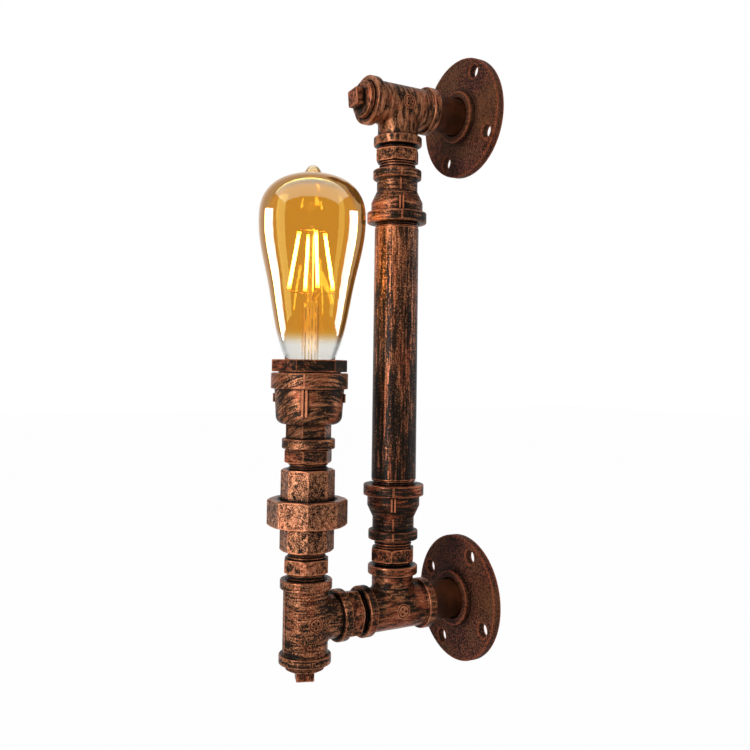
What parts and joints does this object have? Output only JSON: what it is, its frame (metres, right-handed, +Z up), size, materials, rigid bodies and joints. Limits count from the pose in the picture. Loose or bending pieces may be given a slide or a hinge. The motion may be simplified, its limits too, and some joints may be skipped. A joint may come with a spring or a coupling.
{
  "type": "pipe wall light",
  "caption": "Industrial wall light made of threaded pipe fittings: a tall pipe between two flanged arms, and a turning arm with a union, a bell cup and a pear-shaped filament lamp.",
  "frame": {"origin": "centre of the lower wall flange's back face, on the wall", "axes": "+Z is up, +Y points into the wall and -Y out into the room, X runs along the wall"},
  "size_m": [0.0774, 0.1433, 0.3854],
  "materials": {
    "flange_iron": "fine-grained cast iron in dark red-brown, rubbed through to copper at the edges",
    "fitting_iron": "near-black paint with dry-brushed copper on its high places",
    "pipe_iron": "near-black paint with upright streaks of dry-brushed copper",
    "nipple_iron": "smooth satin dark brown paint",
    "gasket_rubber": "flat black washer",
    "flex_sheath": "round black flex sheath",
    "holder_ceramic": "glazed off-white ceramic",
    "holder_brass": "plain bright brass",
    "cap_brass": "rolled bright brass",
    "solder": "dull grey solder",
    "cap_insulator": "black glass",
    "driver_board": "dull green circuit board",
    "amber_glass": "amber glass that runs out to clear at its foot",
    "clear_glass": "clear glass",
    "support_wire": "bright thin wire",
    "filament": "glowing warm white rod"
  },
  "bodies": {
    "wall_frame": {"lower_wall_flange": "flange_iron", "lower_wall_nipple": "nipple_iron", "lower_tee": "fitting_iron", "lower_column_nipple": "fitting_iron", "lower_reducer": "fitting_iron", "main_pipe": "pipe_iron", "upper_reducer": "fitting_iron", "upper_column_nipple": "fitting_iron", "upper_tee": "fitting_iron", "upper_plug": "fitting_iron", "upper_wall_nipple": "nipple_iron", "upper_wall_flange": "flange_iron", "arm_nipple": "fitting_iron", "arm_flex": "flex_sheath"},
    "lamp_arm": {"lamp_tee": "fitting_iron", "lamp_plug": "fitting_iron", "lamp_column_nipple": "fitting_iron", "union_body": "fitting_iron", "union_gasket": "gasket_rubber", "union_nut": "fitting_iron", "elbow_flex": "flex_sheath"},
    "lamp_head": {"union_tail": "fitting_iron", "head_nipple": "fitting_iron", "lamp_cup": "fitting_iron", "hex_collar": "fitting_iron", "lampholder_body": "holder_ceramic", "lampholder_shell": "holder_brass", "centre_contact": "holder_brass", "terminal_screws": "holder_brass", "head_flex": "flex_sheath"},
    "bulb_foot": {"bulb_contact": "solder"},
    "bulb": {"bulb_insulator": "cap_insulator", "bulb_cap": "cap_brass", "bulb_driver": "driver_board", "bulb_glass": "amber_glass", "bulb_stem": "clear_glass", "filament_supports": "support_wire", "lead_wires": "support_wire", "led_filaments": "filament"}
  },
  "joints": [
    {"name": "arm_swivel", "type": "hinge", "parent": "wall_frame", "child": "lamp_arm", "pos_m": [0, -0.0881, 0], "axis": [0, 1, 0], "range_deg": [-90, 90]},
    {"name": "union_turn", "type": "hinge", "parent": "lamp_arm", "child": "lamp_head", "pos_m": [0, -0.112, 0.0605], "axis": [0, 0, 1], "range_deg": [-180, 180]},
    {"name": "bulb_lift", "type": "slide", "parent": "lamp_head", "child": "bulb_foot", "axis": [0, 0, 1], "range_m": [0, 0.03271]},
    {"name": "bulb_turn", "type": "hinge", "parent": "bulb_foot", "child": "bulb", "pos_m": [0, -0.112, 0.1207], "axis": [0, 0, 1], "range_deg": [0, 3240]}
  ],
  "couplings": [
    {"joint": "bulb_lift", "follows": "bulb_turn", "m_per_rad": 0.00057757}
  ]
}
